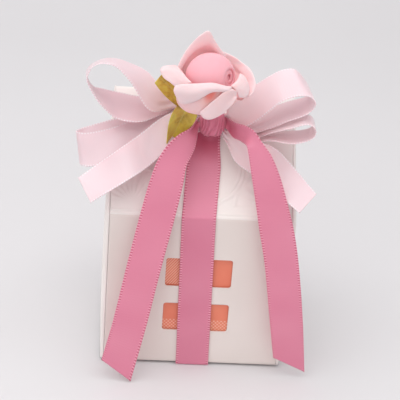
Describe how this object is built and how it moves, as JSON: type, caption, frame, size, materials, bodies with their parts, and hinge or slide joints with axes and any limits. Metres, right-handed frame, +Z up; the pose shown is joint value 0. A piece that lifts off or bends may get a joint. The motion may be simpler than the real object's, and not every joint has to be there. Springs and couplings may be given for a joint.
{
  "type": "house-shaped favour box",
  "caption": "House-shaped card gift box with cut-out windows over a coloured liner, hinged gable ends, tied with a satin ribbon, a layered bow and a foam rose on top",
  "frame": {"origin": "Middle of the house's footprint, on the underside of the ribbon run that the tied box stands on.", "axes": "+X runs along the ridge to the right as seen from the windowed front, +Y runs from the windowed front wall to the back wall, +Z is up."},
  "size_m": [0.0892, 0.0747, 0.1286],
  "materials": {
    "card": "satin",
    "liner": "satin",
    "deep_satin": "satin",
    "pale_satin": "satin",
    "bud_foam": "matte",
    "petal_foam": "matte",
    "leaf": "matte",
    "stem": "matte"
  },
  "bodies": {
    "house": {"back_petal": "petal_foam", "bud_petal": "bud_foam", "front_left_petal": "petal_foam", "front_right_petal": "petal_foam", "house_sleeve": "card", "inner_right_petal": "petal_foam", "knot": "deep_satin", "left_pale_tail": "pale_satin", "left_petal": "petal_foam", "left_tail": "deep_satin", "lower_leaf": "leaf", "lower_left_loop": "pale_satin", "lower_right_loop": "pale_satin", "outer_right_petal": "petal_foam", "right_pale_tail": "pale_satin", "right_tail": "deep_satin", "rose_bud": "bud_foam", "rose_calyx": "stem", "rose_stem": "stem", "seam_flap": "card", "upper_leaf": "leaf", "upper_left_loop": "pale_satin", "upper_right_loop": "pale_satin", "window_liner": "liner", "wrap_ribbon": "deep_satin"},
    "left_end": {"left_end_panel": "card"},
    "left_tongue": {"left_tuck_tongue": "card"},
    "left_floor_flap": {"left_floor_flap": "card"},
    "left_front_roof_flap": {"left_front_roof_flap": "card"},
    "left_back_roof_flap": {"left_back_roof_flap": "card"},
    "right_end": {"right_end_panel": "card"},
    "right_tongue": {"right_tuck_tongue": "card"},
    "right_floor_flap": {"right_floor_flap": "card"},
    "right_front_roof_flap": {"right_front_roof_flap": "card"},
    "right_back_roof_flap": {"right_back_roof_flap": "card"}
  },
  "joints": [
    {"name": "left_end_hinge", "type": "hinge", "parent": "house", "child": "left_end", "pos_m": [-0.0328, 0.02975, 0], "axis": [0, 0, -1], "range_deg": [0, 100]},
    {"name": "left_tongue_fold", "type": "hinge", "parent": "left_end", "child": "left_tongue", "pos_m": [-0.0328, -0.02895, 0], "axis": [0, 0, -1], "range_deg": [0, 15]},
    {"name": "left_floor_flap_fold", "type": "hinge", "parent": "house", "child": "left_floor_flap", "pos_m": [-0.03185, 0, 0.00175], "axis": [0, 1, 0], "range_deg": [0, 80]},
    {"name": "left_front_roof_flap_fold", "type": "hinge", "parent": "house", "child": "left_front_roof_flap", "pos_m": [-0.03185, -0.02546, 0.06576], "axis": [0, -0.6196, -0.7849], "range_deg": [0, 75]},
    {"name": "left_back_roof_flap_fold", "type": "hinge", "parent": "house", "child": "left_back_roof_flap", "pos_m": [-0.03185, 0.02546, 0.06576], "axis": [0, -0.6196, 0.7849], "range_deg": [0, 75]},
    {"name": "right_end_hinge", "type": "hinge", "parent": "house", "child": "right_end", "pos_m": [0.0328, 0.02975, 0], "axis": [0, 0, 1], "range_deg": [0, 100]},
    {"name": "right_tongue_fold", "type": "hinge", "parent": "right_end", "child": "right_tongue", "pos_m": [0.0328, -0.02895, 0], "axis": [0, 0, 1], "range_deg": [0, 15]},
    {"name": "right_floor_flap_fold", "type": "hinge", "parent": "house", "child": "right_floor_flap", "pos_m": [0.03185, 0, 0.00175], "axis": [0, -1, 0], "range_deg": [0, 80]},
    {"name": "right_front_roof_flap_fold", "type": "hinge", "parent": "house", "child": "right_front_roof_flap", "pos_m": [0.03185, -0.02546, 0.06576], "axis": [0, 0.6196, 0.7849], "range_deg": [0, 75]},
    {"name": "right_back_roof_flap_fold", "type": "hinge", "parent": "house", "child": "right_back_roof_flap", "pos_m": [0.03185, 0.02546, 0.06576], "axis": [0, 0.6196, -0.7849], "range_deg": [0, 75]}
  ],
  "couplings": [
    {"joint": "left_tongue_fold", "follows": "left_end_hinge", "ratio": 0.15},
    {"joint": "right_tongue_fold", "follows": "right_end_hinge", "ratio": 0.15}
  ]
}
